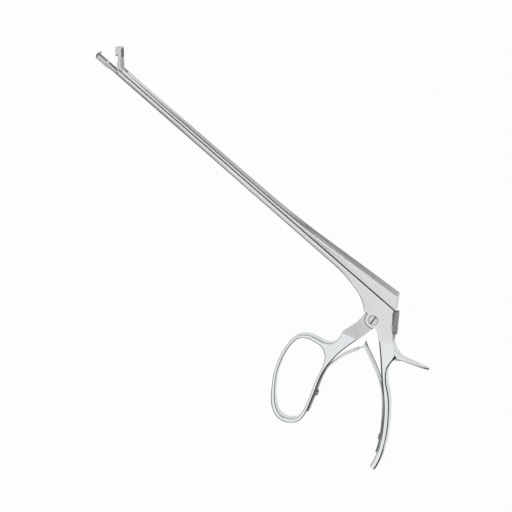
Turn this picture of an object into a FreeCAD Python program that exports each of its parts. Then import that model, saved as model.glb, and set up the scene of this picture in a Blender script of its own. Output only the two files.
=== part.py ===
import FreeCAD, Part
import math
import os
import Sketcher

# Biopsy forceps lying on its side, in millimetres.
# X runs along the shaft from the jaws (-X) to the handles, Y points to the slide side,
# Z is the thickness. The pivot screw stands at X = Y = 0 and the lower cheek is at Z = 0.

SIZES = {
    "joint_line": (13.65, "height of the sliding face above the pivot axis"),
    "nose_reach": (229.9, "pivot axis to the nose of the fixed jaw"),
    "body_width": (8.0, "thickness of the body plate"),
    "tip_width": (4.8, "thickness of the shaft at the nose"),
    "taper_start": (25.0, "pivot axis to where the shaft starts to taper"),
    "slide_gap": (0.2, "running gap between shaft and slide"),
    "edge_break": (0.3, "bevel on the long edges of shaft and slide"),
    "belly_depth": (3.75, "joint line to the belly of the fixed jaw"),
    "bar_depth": (3.25, "joint line to the underside behind the fixed jaw"),
    "bar_depth_rear": (3.5, "joint line to the underside where the throat starts"),
    "throat_start": (38.0, "pivot axis to where the throat curve starts"),
    "lip_length": (1.55, "lip of the fixed jaw along the shaft"),
    "seat_drop": (1.3, "joint line to the seat of the moving jaw"),
    "seat_length": (14.75, "lip to the end of the seat"),
    "window_length": (6.1, "basket window along the shaft"),
    "window_width": (3.0, "basket window across the shaft"),
    "basket_pin_diameter": (0.6, "cross pin in the basket window"),
    "pin_fit": (0.02, "radial fit of a fixed pin"),
    "pin_play": (0.05, "radial play of a running pin"),
    "nose_bevel": (1.6, "bevel of the nose along the shaft"),
    "nose_flat": (2.2, "flat front of the nose across the shaft"),
    "jaw_setback": (16.9, "nose to the jaw pivot along the shaft"),
    "jaw_depth": (1.5, "joint line down to the jaw pivot"),
    "jaw_opening": (50.0, "opening of the jaw in degrees"),
    "jaw_pin_diameter": (1.0, "pivot pin of the moving jaw"),
    "link_height": (1.0, "joint line up to the link pin"),
    "link_pin_diameter": (0.9, "pin that drives the moving jaw"),
    "tang_thickness": (2.0, "tang of the moving jaw"),
    "tang_play": (0.15, "side play of the tang in its slots"),
    "jaw_width": (4.5, "moving jaw across the shaft"),
    "jaw_thickness": (2.7, "thickness of the moving jaw"),
    "seat_play": (0.05, "closed jaw above its seat"),
    "punch_length": (5.6, "punch along the jaw"),
    "punch_play": (0.25, "punch to the front and rear of the window"),
    "punch_depth": (1.6, "punch below the jaw"),
    "punch_side_play": (0.15, "punch to the sides of the window"),
    "punch_wall": (0.5, "wall of the hollow punch"),
    "slide_height": (2.1, "slide above the joint line at the jaws"),
    "slide_height_mid": (2.35, "slide height where its top starts to rise"),
    "slide_height_step": (4.2, "slide height where its top runs straight again"),
    "rise_start": (95.0, "pivot axis to where the top of the slide starts to rise"),
    "rise_end": (50.0, "pivot axis to where the top of the slide runs straight again"),
    "rise_radius": (585.0, "curve of the rising top of the slide"),
    "slide_height_rear": (8.2, "slide height at the rear"),
    "key_length": (4.0, "guide key along the shaft"),
    "key_stem": (1.5, "guide key stem across the shaft"),
    "key_head": (2.8, "guide key head across the shaft"),
    "key_head_height": (0.5, "thickness of the guide key head"),
    "key_rise": (0.45, "joint line to the underside of the key head"),
    "key_root": (1.3, "depth of the key in the shaft"),
    "key_play": (0.1, "play around the guide keys"),
    "front_key_setback": (18.0, "jaw pivot to the front guide key"),
    "rear_key_reach": (45.0, "pivot axis to the rear guide key"),
    "boss_radius": (4.9, "cheek boss around the pivot screw"),
    "shoulder_play": (0.25, "front shank to the cheek boss"),
    "screw_head_radius": (3.0, "head of the pivot screw"),
    "screw_head_height": (1.1, "height of the pivot screw head"),
    "screw_radius": (2.0, "shank of the pivot screw"),
    "lever_thickness": (3.4, "lever plate between the cheeks"),
    "lever_play": (0.1, "side play of the lever plate"),
    "lever_arm": (14.55, "pivot axis to the lever head"),
    "lever_head_radius": (1.5, "round head that drives the slide"),
    "head_play": (0.07, "lever head in its pocket"),
    "lever_crown": (13.3, "top of the lever plate from the pivot axis"),
    "shank_width": (6.4, "front shank where the ring handle starts"),
    "ring_width": (6.0, "ring handle across"),
    "ring_bar": (2.2, "bar of the finger loop in plan at its sides"),
    "ring_swell": (0.8, "how much thicker the bar is at the bottom of the loop"),
    "ring_round": (0.9, "rounding of the ring handle edges"),
    "strip_thickness": (3.9, "rear handle in plan"),
    "strip_swell": (0.3, "how much thicker the rear handle is at its end"),
    "strip_round": (1.5, "rounding of the long edges of the rear handle"),
    "screw_slot_width": (0.9, "driver slot of the pivot screw"),
    "screw_slot_depth": (1.0, "depth of the driver slot of the pivot screw"),
    "screw_rise": (0.15, "head of the pivot screw above the upper cheek"),
    "screw_head_play": (0.12, "head of the pivot screw in its recess"),
    "leaf_thickness": (0.8, "leaf springs"),
    "leaf_width": (6.0, "leaf springs across"),
    "leaf_gap": (0.05, "leaf springs to their handles"),
    "tongue_width": (2.0, "tongue at the tip of the front leaf"),
    "tongue_play": (0.3, "tongue to the sides of its slot"),
    "belly_round": (0.8, "rounding of the underside of the shaft"),
    "leaf_screw_head": (2.1, "head radius of the spring screws"),
    "leaf_screw_height": (1.1, "head height of the spring screws"),
    "leaf_screw_radius": (1.1, "shank radius of the spring screws"),
    "leaf_screw_depth": (1.7, "spring screw in its handle"),
}


class Length:
    """A size with its number and the expression that drives it."""

    def __init__(self, value, text=None):
        self.value = float(value)
        self.text = text if text else "%.4f" % value

    def _with(self, other, symbol, value):
        return Length(value, "(%s %s %s)" % (self.text, symbol, as_length(other).text))

    def __add__(self, other):
        return self._with(other, "+", self.value + as_length(other).value)

    def __sub__(self, other):
        return self._with(other, "-", self.value - as_length(other).value)

    def __mul__(self, other):
        return self._with(other, "*", self.value * as_length(other).value)

    def __truediv__(self, other):
        return self._with(other, "/", self.value / as_length(other).value)

    def __neg__(self):
        return Length(-self.value, "(0 - %s)" % self.text)


def as_length(item):
    return item if isinstance(item, Length) else Length(item)


document = FreeCAD.newDocument("biopsy_forceps")
sheet = document.addObject("Spreadsheet::Sheet", "sizes")
for row, (name, (number, note)) in enumerate(SIZES.items(), start=1):
    sheet.set("A%d" % row, name)
    sheet.set("B%d" % row, str(number))
    sheet.set("C%d" % row, note)
    sheet.setAlias("B%d" % row, name)
document.recompute()


def size(name):
    return Length(sheet.get(name), "<<sizes>>.%s" % name)


joint_line = size("joint_line")
half_body = size("body_width") / 2
nose = -size("nose_reach")
jaw_x = nose + size("jaw_setback")
jaw_y = joint_line - size("jaw_depth")
half_opening = Length(sheet.get("jaw_opening") / 2, "(<<sizes>>.jaw_opening / 2)")
half_opening_tan = Length(math.tan(math.radians(half_opening.value)), "tan(%s * 1 deg)" % half_opening.text)
link_rise = size("jaw_depth") + size("link_height")
link_offset = link_rise * half_opening_tan
slide_travel = link_offset * 2
THROUGH = size("body_width") * 20
bodies = []


def plane(body, role):
    return next(item for item in body.Origin.OriginFeatures if item.Role == role)


def new_body(label):
    """A body whose own XY plane is the mid-plane of the forceps."""
    body = document.addObject("PartDesign::Body", label)
    body.Label = label
    body.setExpression("Placement.Base.z", half_body.text)
    bodies.append(body)
    return body


def new_sketch(body, name, role="XY_Plane", offset=(0, 0, 0), turn=0):
    sketch = body.newObject("Sketcher::SketchObject", name)
    sketch.AttachmentSupport = [(plane(body, role), "")]
    sketch.MapMode = "FlatFace"
    rotation = FreeCAD.Rotation(FreeCAD.Vector(0, 0, 1), turn)
    sketch.AttachmentOffset = FreeCAD.Placement(FreeCAD.Vector(*[as_length(c).value for c in offset]), rotation)
    for axis, distance in zip("xyz", offset):
        if isinstance(distance, Length):
            sketch.setExpression("AttachmentOffset.Base." + axis, distance.text)
    return sketch


def point(pair):
    return FreeCAD.Vector(as_length(pair[0]).value, as_length(pair[1]).value, 0)


def bind(sketch, kind, *arguments):
    """Add a constraint and tie its value to the sizes."""
    distance = arguments[-1]
    number = sketch.addConstraint(Sketcher.Constraint(kind, *arguments[:-1], distance.value))
    if "sizes" in distance.text:
        sketch.setExpression("Constraints[%d]" % number, distance.text)


def outline(sketch, corners, arcs=None):
    """Draw a closed outline; arcs maps a side's number to (radius, bulge side)."""
    arcs = arcs or {}
    count = len(corners)
    for side in range(count):
        start = point(corners[side])
        end = point(corners[(side + 1) % count])
        if side in arcs:
            radius, bulge = arcs[side]
            sketch.addGeometry(arc_between(start, end, as_length(radius).value, bulge))
        else:
            sketch.addGeometry(Part.LineSegment(start, end))
    first = sketch.GeometryCount - count
    ends = []
    for side in range(count):
        reverse = side in arcs and arcs[side][1] < 0
        ends.append((2, 1) if reverse else (1, 2))
    for side in range(count):
        following = (side + 1) % count
        sketch.addConstraint(Sketcher.Constraint(
            "Coincident", first + side, ends[side][1], first + following, ends[following][0]))
        across, along = corners[side]
        bind(sketch, "DistanceX", -1, 1, first + side, ends[side][0], as_length(across))
        bind(sketch, "DistanceY", -1, 1, first + side, ends[side][0], as_length(along))
        following = corners[(side + 1) % count]
        if side in arcs and (point(corners[side]) - point(following)).Length < 1.999 * as_length(arcs[side][0]).value:
            bind(sketch, "Radius", first + side, as_length(arcs[side][0]))


def arc_between(start, end, radius, bulge):
    """An arc from start to end that turns left for a positive bulge and right for a negative one."""
    chord = end - start
    middle = (start + end) * 0.5
    left = FreeCAD.Vector(-chord.y, chord.x, 0).normalize()
    reach = math.sqrt(max(radius ** 2 - (chord.Length / 2) ** 2, 0))
    centre = middle + left * reach * bulge
    circle = Part.Circle(centre, FreeCAD.Vector(0, 0, 1), radius)
    angles = [math.atan2(p.y - centre.y, p.x - centre.x) for p in (start, end)]
    if bulge < 0:
        angles.reverse()
    return Part.ArcOfCircle(circle, angles[0], angles[1])


def circle(sketch, across, along, radius):
    centre = point((across, along))
    number = sketch.addGeometry(Part.Circle(centre, FreeCAD.Vector(0, 0, 1), as_length(radius).value))
    bind(sketch, "DistanceX", -1, 1, number, 3, as_length(across))
    bind(sketch, "DistanceY", -1, 1, number, 3, as_length(along))
    bind(sketch, "Radius", number, as_length(radius))


def spline(sketch, places, closed=False):
    curve = Part.BSplineCurve()
    curve.interpolate(Points=[point(place) for place in places], PeriodicFlag=closed)
    sketch.addGeometry(curve)


def line(sketch, start, end):
    sketch.addGeometry(Part.LineSegment(point(start), point(end)))


def box_outline(sketch, left, bottom, right, top):
    outline(sketch, [(left, bottom), (right, bottom), (right, top), (left, top)])


def feature(body, kind, sketch, length=None, midplane=True):
    item = body.newObject("PartDesign::" + kind, kind + "_" + sketch.Name)
    length = length or THROUGH
    item.Profile = sketch
    item.Midplane = midplane
    item.Length = length.value
    item.setExpression("Length", length.text)
    sketch.Visibility = False
    return item


def pad(body, sketch, width):
    return feature(body, "Pad", sketch, as_length(width))


def pocket(body, sketch, width=None, midplane=True):
    return feature(body, "Pocket", sketch, width if width is None else as_length(width), midplane)


def revolve(body, sketch, kind="Revolution"):
    """Turn a sketch about its own vertical axis."""
    item = body.newObject("PartDesign::" + kind, kind + "_" + sketch.Name)
    item.Profile = sketch
    item.ReferenceAxis = (sketch, ["V_Axis"])
    item.Angle = 360
    return item


def dress(body, kind, amount, choose):
    """Fillet or chamfer the edges of the last shape that the test chooses."""
    document.recompute()
    base = body.Tip
    names = ["Edge%d" % number for number, edge in enumerate(base.Shape.Edges, start=1) if choose(edge)]
    item = body.newObject("PartDesign::" + kind, kind)
    item.Base = (base, names)
    field = "Radius" if kind == "Fillet" else "Size"
    setattr(item, field, amount.value)
    item.setExpression(field, amount.text)
    return item


def is_long_at(edge, height, least=20.0):
    """True for a long edge that starts and ends at this height."""
    box = edge.BoundBox
    return box.XLength > least and abs(box.YMin - height) < 0.02 and abs(box.YMax - height) < 0.02


def taper_cut(body, reach):
    """Mill both sides of the shaft from the body's width to the tip's width."""
    sketch = new_sketch(body, "side_taper", "XZ_Plane")
    front = -reach - 5
    far = half_body + 2
    lean = (half_body - size("tip_width") / 2) / (size("nose_reach") - size("taper_start"))
    half_front = size("tip_width") / 2 - lean * 5
    for side in (1, -1):
        outline(sketch, [
            (front, half_front * side),
            (-size("taper_start"), half_body * side),
            (-size("taper_start"), far * side),
            (front, far * side)])
    pocket(body, sketch)


# Fixed frame: lower shaft, fixed jaw and slotted body in one forging
seat = joint_line - size("seat_drop")
lip_end = nose + size("lip_length")
window_end = lip_end + size("window_length")
seat_end = lip_end + size("seat_length")
satin_front = (10.6, -8.0)
satin_back = (18.2, -3.5)

frame = new_body("fixed_frame")
frame_sketch = new_sketch(frame, "frame_outline")
outline(frame_sketch, [
    (nose + 0.6, joint_line),
    (nose, joint_line - 0.9),
    (nose, joint_line - size("belly_depth") + 1.4),
    (nose + 1.1, joint_line - size("belly_depth")),
    (window_end + 0.8, joint_line - size("belly_depth")),
    (window_end + 4, joint_line - size("bar_depth")),
    (-size("throat_start"), joint_line - size("bar_depth_rear")),
    (-20.8, 7.5),
    (-7.7, 0.1),
    (-6.95, 1.0),
    (-size("boss_radius"), 1.0),
    (-size("boss_radius"), 0.0),
    (3.9, -2.97),
    (6.4, -3.9),
    satin_front,
    satin_back,
    (15.2, 1.1),
    (13.2, 2.0),
    (10.5, 5.1),
    (5.4, 13.0),
    (5.2, joint_line),
    (seat_end, joint_line),
    (seat_end, seat),
    (lip_end + 0.12, seat),
    (lip_end, seat + 0.12),
    (lip_end, joint_line)],
    arcs={6: (82.0, -1), 7: (23.0, -1), 11: (size("boss_radius"), 1)})
pad(frame, frame_sketch, size("body_width"))
taper_cut(frame, size("nose_reach"))

window_sketch = new_sketch(frame, "basket_window", "XZ_Plane")
half_window = size("window_width") / 2
outline(window_sketch, [
    (lip_end, -half_window),
    (window_end - half_window, -half_window),
    (window_end - half_window, half_window),
    (lip_end, half_window)],
    arcs={1: (half_window, 1)})
pocket(frame, window_sketch)

slot_width = size("tang_thickness") + size("tang_play") * 2
tang_root = jaw_y - 1.2
tang_slot = new_sketch(frame, "tang_slot")
box_outline(tang_slot, jaw_x - 6.9, tang_root, jaw_x + 2.5, joint_line + 1)
pocket(frame, tang_slot, slot_width)
tang_slot_front = new_sketch(frame, "tang_slot_front", "XZ_Plane", offset=(0, 0, -(tang_root + joint_line + 1) / 2))
circle(tang_slot_front, jaw_x - 6.9, 0, slot_width / 2)
pocket(frame, tang_slot_front, joint_line + 1 - tang_root)
nose_bevel = new_sketch(frame, "nose_bevel", "XZ_Plane")
for side in (1, -1):
    outline(nose_bevel, [
        (nose, size("nose_flat") / 2 * side), (nose + size("nose_bevel"), size("tip_width") / 2 * side + 0.05 * side),
        (nose + size("nose_bevel"), half_body * side), (nose - 1, half_body * side),
        (nose - 1, size("nose_flat") / 2 * side)])
pocket(frame, nose_bevel)

mortise = new_sketch(frame, "lever_mortise")
outline(mortise, [
    (-9.0, -6.0), (-9.0, -0.6), (-5.9, 1.3), (-5.6, 5.0), (-4.2, joint_line + 1),
    (20.0, joint_line + 1), (20.0, 1.3), (14.9, 1.0), (4.6, -3.3), (4.0, -6.0)])
pocket(frame, mortise, size("lever_thickness") + size("lever_play") * 2)

holes = new_sketch(frame, "cross_holes")
basket_pin_x = lip_end + 2.1
basket_pin_y = joint_line - size("belly_depth") + 0.47
circle(holes, basket_pin_x, basket_pin_y, size("basket_pin_diameter") / 2 + size("pin_fit"))
circle(holes, jaw_x, jaw_y, size("jaw_pin_diameter") / 2 + size("pin_fit"))
circle(holes, 0, 0, size("screw_radius") + size("pin_fit"))
pocket(frame, holes)

head_recess = new_sketch(frame, "screw_recess", offset=(0, 0, half_body))
circle(head_recess, 0, 0, size("screw_head_radius") + size("screw_head_play"))
pocket(frame, head_recess, size("screw_head_height"), midplane=False)

key_places = {"front": jaw_x + size("front_key_setback"), "rear": -size("rear_key_reach")}
for key_name in ("front", "rear"):
    key_x = key_places[key_name]
    socket = new_sketch(frame, key_name + "_key_socket")
    half_key = size("key_length") / 2 + size("pin_fit")
    box_outline(socket, key_x - half_key, joint_line - size("key_root"), key_x + half_key, joint_line + 1)
    pocket(frame, socket, size("key_stem") + size("pin_fit") * 2)

dress(frame, "Chamfer", size("edge_break"), lambda edge: is_long_at(edge, joint_line.value))


def is_belly_edge(edge):
    box = edge.BoundBox
    return box.XLength > 20 and box.YMax < joint_line.value - 2 and box.XMax < -20 and box.ZLength < 2


dress(frame, "Fillet", size("belly_round"), is_belly_edge)


# Pins of the fixed frame
def cross_pin(label, across, along, radius, length):
    body = new_body(label)
    sketch = new_sketch(body, label + "_section")
    circle(sketch, across, along, radius)
    pad(body, sketch, length)
    return body


cross_pin("basket_pin", basket_pin_x, basket_pin_y, size("basket_pin_diameter") / 2, size("tip_width") - 0.2)
cross_pin("jaw_pivot_pin", jaw_x, jaw_y, size("jaw_pin_diameter") / 2, size("tip_width"))


def guide_key(label, place):
    """A T-shaped key: its stem sits in the shaft and its head holds the slide down."""
    body = new_body(label)
    half_key = size("key_length") / 2
    stem = new_sketch(body, label + "_stem")
    under_head = joint_line + size("key_rise")
    box_outline(stem, place - half_key, joint_line - size("key_root"), place + half_key, under_head)
    pad(body, stem, size("key_stem"))
    head = new_sketch(body, label + "_head")
    box_outline(head, place - half_key, under_head, place + half_key, under_head + size("key_head_height"))
    pad(body, head, size("key_head"))


guide_key("front_guide_key", key_places["front"])
guide_key("rear_guide_key", key_places["rear"])

# Pivot screw: slotted head flush with the upper cheek, shank flush with the lower one
screw = new_body("pivot_screw")
shank_sketch = new_sketch(screw, "screw_shank", offset=(0, 0, -half_body))
circle(shank_sketch, 0, 0, size("screw_radius"))
feature(screw, "Pad", shank_sketch, size("body_width"), midplane=False)
head_sketch = new_sketch(screw, "screw_head", offset=(0, 0, half_body - size("screw_head_height")))
circle(head_sketch, 0, 0, size("screw_head_radius"))
feature(screw, "Pad", head_sketch, size("screw_head_height") + size("screw_rise"), midplane=False)
slot_sketch = new_sketch(screw, "driver_slot", offset=(0, 0, half_body + size("screw_rise")), turn=4)
half_slot = size("screw_slot_width") / 2
slot_reach = size("screw_head_radius") + 1
box_outline(slot_sketch, -half_slot, -slot_reach, half_slot, slot_reach)
pocket(screw, slot_sketch, size("screw_slot_depth"), midplane=False)

# Slide: upper half of the shaft, pushed forward by the lever head
slide = new_body("slide_bar")
slide_floor = joint_line + size("slide_gap")
slide_sketch = new_sketch(slide, "slide_outline")
outline(slide_sketch, [
    (jaw_x, slide_floor),
    (5.9, slide_floor),
    (1.0, joint_line + size("slide_height_rear")),
    (-size("rise_end"), joint_line + size("slide_height_step")),
    (-size("rise_start"), joint_line + size("slide_height_mid")),
    (jaw_x + 0.3, joint_line + size("slide_height")),
    (jaw_x, joint_line + size("slide_height") - 0.3)],
    arcs={3: (size("rise_radius"), -1)})
pad(slide, slide_sketch, size("body_width"))
taper_cut(slide, size("nose_reach"))

fork = new_sketch(slide, "fork_slot")
box_outline(fork, jaw_x - 1, joint_line - 1, jaw_x + 4.7, joint_line + size("slide_height") + 2)
pocket(slide, fork, slot_width)

link_hole = new_sketch(slide, "link_pin_hole")
link_y = joint_line + size("link_height")
circle(link_hole, jaw_x + link_offset, link_y, size("link_pin_diameter") / 2 + size("pin_fit"))
pocket(slide, link_hole)

for key_name in ("front", "rear"):
    key_x = key_places[key_name]
    start = key_x - size("key_length") / 2 - size("key_play")
    finish = key_x + size("key_length") / 2 + slide_travel + size("key_play") * 2
    head_floor = joint_line + size("key_rise") - size("key_play")
    head_roof = joint_line + size("key_rise") + size("key_head_height") + size("key_play")
    groove = new_sketch(slide, key_name + "_key_groove")
    box_outline(groove, start, joint_line, finish, head_roof)
    pocket(slide, groove, size("key_stem") + size("key_play") * 2)
    undercut = new_sketch(slide, key_name + "_key_undercut")
    box_outline(undercut, start, head_floor, finish, head_roof)
    pocket(slide, undercut, size("key_head") + size("key_play") * 2)

swing = math.asin(slide_travel.value / 2 / sheet.get("lever_arm"))
lever_lean = Length(math.degrees(swing), "asin(%s / <<sizes>>.lever_arm)" % link_offset.text)
head_x = link_offset
head_y = Length(sheet.get("lever_arm") * math.cos(swing), "(<<sizes>>.lever_arm * cos(%s))" % lever_lean.text)
head_pocket = new_sketch(slide, "head_pocket")
half_pocket = size("lever_head_radius") + size("head_play")
box_outline(head_pocket, head_x - half_pocket, joint_line - 1, head_x + half_pocket, head_y + half_pocket + 0.1)
pocket(slide, head_pocket, size("lever_thickness") + size("lever_play") * 2)
dress(slide, "Chamfer", size("edge_break"), lambda edge: is_long_at(edge, slide_floor.value))

cross_pin("jaw_link_pin", jaw_x + link_offset, link_y, size("link_pin_diameter") / 2, size("tip_width"))

# Moving jaw, drawn closed about its own pivot and then swung open
jaw = new_body("moving_jaw")
jaw_floor = size("jaw_depth") - size("seat_drop") + size("seat_play")
jaw_top = jaw_floor + size("jaw_thickness")
punch_front = lip_end + size("punch_play") - jaw_x
punch_back = punch_front + size("punch_length")
heel = Length(-2.75)
arm_sketch = new_sketch(jaw, "jaw_arm")
outline(arm_sketch, [
    (punch_front, jaw_floor), (heel, jaw_floor), (heel, jaw_top - 0.2), (heel - 0.4, jaw_top),
    (punch_front + 0.5, jaw_top), (punch_front, jaw_top - 0.5)])
pad(jaw, arm_sketch, size("jaw_width"))
tang_sketch = new_sketch(jaw, "jaw_tang")
lobe_radius = size("jaw_pin_diameter") / 2 + 0.55
outline(tang_sketch, [
    (-6.4, jaw_floor + 0.5), (-6.4, jaw_floor), (-5.5, -0.75), (-0.4, -lobe_radius), (lobe_radius, -0.1),
    (-0.35, link_rise + 0.35), (-1.0, link_rise + 0.85), (-1.9, link_rise + 0.8), (-2.9, jaw_top - 0.3),
    (-4.0, jaw_floor + 0.5)],
    arcs={3: (lobe_radius, 1)})
pad(jaw, tang_sketch, size("tang_thickness"))
punch_sketch = new_sketch(jaw, "jaw_punch")
punch_floor = jaw_floor - size("punch_depth")
half_punch = size("window_width") / 2 - size("punch_side_play")
box_outline(punch_sketch, punch_front, punch_floor, punch_back - half_punch, jaw_floor + 0.3)
pad(jaw, punch_sketch, half_punch * 2)
punch_heel = new_sketch(jaw, "punch_heel", "XZ_Plane", offset=(0, 0, -(punch_floor + jaw_floor + 0.3) / 2))
circle(punch_heel, punch_back - half_punch, 0, half_punch)
pad(jaw, punch_heel, jaw_floor + 0.3 - punch_floor)
wall = size("punch_wall")
hollow_depth = size("punch_depth") + 1.4
hollow = new_sketch(jaw, "punch_hollow", "XZ_Plane", offset=(0, 0, -(jaw_floor + 0.4 - hollow_depth / 2)))
outline(hollow, [
    (punch_front + wall, -(half_punch - wall)), (punch_back - half_punch, -(half_punch - wall)),
    (punch_back - half_punch, half_punch - wall), (punch_front + wall, half_punch - wall)],
    arcs={1: (half_punch - wall, 1)})
pocket(jaw, hollow, hollow_depth)
jaw_holes = new_sketch(jaw, "jaw_pivot_hole")
circle(jaw_holes, 0, 0, size("jaw_pin_diameter") / 2 + size("pin_play"))
pocket(jaw, jaw_holes)
link_slot = new_sketch(jaw, "link_slot", turn=half_opening.value)
half_slot = size("link_pin_diameter") / 2 + size("pin_play") + 0.03
slot_low = link_rise - half_slot - 0.05
slot_high = Length(link_rise.value / math.cos(math.radians(half_opening.value)),
                   "(%s / cos(%s * 1 deg))" % (link_rise.text, half_opening.text)) + half_slot + 0.05
outline(link_slot, [
    (-half_slot, slot_low + half_slot), (half_slot, slot_low + half_slot),
    (half_slot, slot_high - half_slot), (-half_slot, slot_high - half_slot)],
    arcs={0: (half_slot, 1), 2: (half_slot, 1)})
pocket(jaw, link_slot)
jaw.setExpression("Placement.Base.x", jaw_x.text)
jaw.setExpression("Placement.Base.y", jaw_y.text)
jaw.Placement.Rotation = FreeCAD.Rotation(FreeCAD.Vector(0, 0, 1), -sheet.get("jaw_opening"))

# Front lever: satin shank outside the cheeks and lever plate between them
lever = new_body("front_lever")
shoulder = size("boss_radius") + size("shoulder_play")
seam_left = (-9.0, -20.0)
seam_right = (1.0, -16.2)
shank_sketch = new_sketch(lever, "shank_outline")
outline(shank_sketch, [
    seam_left, seam_right, (3.35, -3.91), (-shoulder, 0.0), (-shoulder, 0.55), (-6.7, 0.55), (-6.5, -3.0),
    (-6.1, -6.6), (-6.4, -11.0)],
    arcs={2: (shoulder, -1)})
pad(lever, shank_sketch, size("body_width"))
waist = new_sketch(lever, "shank_waist", "YZ_Plane")
half_shank = size("shank_width") / 2
for side in (1, -1):
    outline(waist, [
        (-7.0, half_body * side), (-7.0, (half_body + 1) * side), (-22.0, (half_body + 1) * side),
        (-22.0, half_shank * side), (-16.0, half_shank * side)])
pocket(lever, waist)
plate_sketch = new_sketch(lever, "lever_plate")
crown = size("lever_crown")
outline(plate_sketch, [
    (-5.9, -6.0), (2.6, -6.0), (3.35, -3.7), (13.9, 1.7), (16.4, 1.9), (8.3, 13.6), (7.4, 13.6), (6.2, 11.766),
    (-1.2, 13.246), (-3.4, 6.0), (-5.6, -0.4)],
    arcs={7: (crown, 1)})
pad(lever, plate_sketch, size("lever_thickness"))
head_disc = new_sketch(lever, "lever_head")
circle(head_disc, head_x, head_y, size("lever_head_radius"))
pad(lever, head_disc, size("lever_thickness"))
lever_hole = new_sketch(lever, "lever_hole")
circle(lever_hole, 0, 0, size("screw_radius") + size("pin_play"))
pocket(lever, lever_hole)


# Handles and their leaf springs
# A place on a path is (X, Y) in the mid-plane
LOOP_LINE = [
    (-16.4, -34.6), (-20.3, -35.6), (-23.8, -37.4), (-26.5, -40.2), (-27.9, -44.4), (-27.9, -50.1),
    (-26.8, -57.0), (-24.8, -63.5), (-21.9, -70.2), (-18.6, -75.7), (-15.0, -80.8), (-10.9, -85.2),
    (-7.0, -87.8), (-3.2, -88.8), (0.6, -88.0), (3.9, -85.7), (6.1, -82.6), (6.7, -79.0),
    (6.1, -74.8), (4.4, -68.9), (2.1, -61.9)]
RING_NECK = [(-8.2, -24.0), (-8.6, -27.8), (-11.1, -31.2)]
RING_FRONT = [(0.6, -54.6), (-0.9, -49.4), (-1.8, -44.5), (-2.1, -40.0), (-2.1, -35.0), (-1.1, -26.0)]
LOOP_WEB = [(-0.5, -58.1), (-2.2, -52.2), (-3.6, -46.6), (-5.3, -42.1), (-7.7, -38.5), (-10.4, -36.6), (-13.4, -35.8)]
LOOP_SIDES = (-39.0, -34.6, -72.0, -88.0)
STRIP_FRONT = [
    (17.5, -14.9), (28.2, -26.4), (35.2, -33.6), (41.8, -41.2), (47.3, -48.9), (51.6, -56.0),
    (55.1, -63.5), (57.6, -72.9)]
ROOT_BACK = [(21.4, -5.3), (23.6, -6.4)]
ROOT_UNDER = [(25.2, -9.6), (25.5, -12.2), (25.6, -14.6), (26.2, -17.6), (28.0, -21.2), (33.0, -26.6)]
# Stations of the spur: X, underside, top and width
SPUR = [
    (22.0, -11.0, -5.75, 7.6), (24.5, -11.6, -6.62, 7.3), (26.2, -11.0, -6.95, 6.9), (28.0, -9.1, -6.95, 6.3),
    (30.5, -7.6, -6.2, 5.8), (34.5, -6.1, -4.75, 5.1), (39.0, -4.4, -3.2, 4.1), (42.5, -3.05, -2.1, 2.9),
    (44.9, -1.95, -1.35, 1.3)]
STRIP_SWELL = (-58.0, -72.0)
REAR_LEAF_FREE = [(30.6, -29.4), (24.4, -25.2), (15.6, -20.6), (8.9, -17.4), (5.7, -15.6)]
FRONT_LEAF_FREE = [(-1.3, -37.2), (0.2, -31.4), (2.7, -25.2), (5.5, -19.6), (6.7, -17.2)]
REAR_LEAF_ENDS = ((55.3, -64.2), (36.6, -35.1))
FRONT_LEAF_ENDS = ((7.2, -73.8), (-1.9, -43.4))
REAR_SCREW_PLACE = (51.3, -55.4)
FRONT_SCREW_PLACE = (3.2, -61.6)


def curve_through(places, closed=False):
    curve = Part.BSplineCurve()
    curve.interpolate(Points=[point(place) for place in places], PeriodicFlag=closed)
    return curve


def at(curve, parameter, distance=0.0):
    """A place beside the curve, to its left for a positive distance."""
    place, tangent = curve.value(parameter), curve.tangent(parameter)[0]
    return (place.x - tangent.y * distance, place.y + tangent.x * distance)


def beside(curve, ends, distance, count=14):
    """Places beside the curve between the places nearest to both ends."""
    first, last = (curve.parameter(point(end)) for end in ends)
    return [at(curve, first + (last - first) * step / (count - 1), distance) for step in range(count)]


def share(value, start, finish):
    return min(max((value - start) / (finish - start), 0.0), 1.0)


def bar_half(place):
    """Half the bar of the finger loop at a place; it swells at the neck and at the bottom."""
    swell = max(share(place[1], *LOOP_SIDES[:2]), share(place[1], *LOOP_SIDES[2:]))
    return (sheet.get("ring_bar") + sheet.get("ring_swell") * swell) / 2


def offset_path(places, distance):
    """The same path moved sideways, to its left for a positive distance."""
    moved = []
    for index, place in enumerate(places):
        before = places[max(index - 1, 0)]
        after = places[min(index + 1, len(places) - 1)]
        run = math.hypot(after[0] - before[0], after[1] - before[1])
        moved.append((
            place[0] - (after[1] - before[1]) / run * distance,
            place[1] + (after[0] - before[0]) / run * distance))
    return moved


loop_curve = curve_through(LOOP_LINE)
loop_outer, loop_inner = [], []
for place in LOOP_LINE:
    parameter = loop_curve.parameter(point(place))
    loop_outer.append(at(loop_curve, parameter, -bar_half(place)))
    loop_inner.append(at(loop_curve, parameter, bar_half(place)))

ring = new_body("ring_handle")
ring_sketch = new_sketch(ring, "ring_outline")
ring_path = [seam_left] + RING_NECK + loop_outer + RING_FRONT + [seam_right]
ring_curve = curve_through(ring_path)
ring_sketch.addGeometry(ring_curve)
line(ring_sketch, seam_right, seam_left)
pad(ring, ring_sketch, size("ring_width"))
loop_sketch = new_sketch(ring, "finger_loop")
loop_sketch.addGeometry(curve_through(loop_inner + LOOP_WEB, closed=True))
pocket(ring, loop_sketch)
half_ring = sheet.get("ring_width") / 2


def is_flat_edge(edge, half, least):
    """True for a long edge that lies in one of the two flat sides."""
    box = edge.BoundBox
    return box.ZLength < 0.01 and abs(abs(box.ZMin) - half) < 0.01 and box.YLength > least


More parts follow.
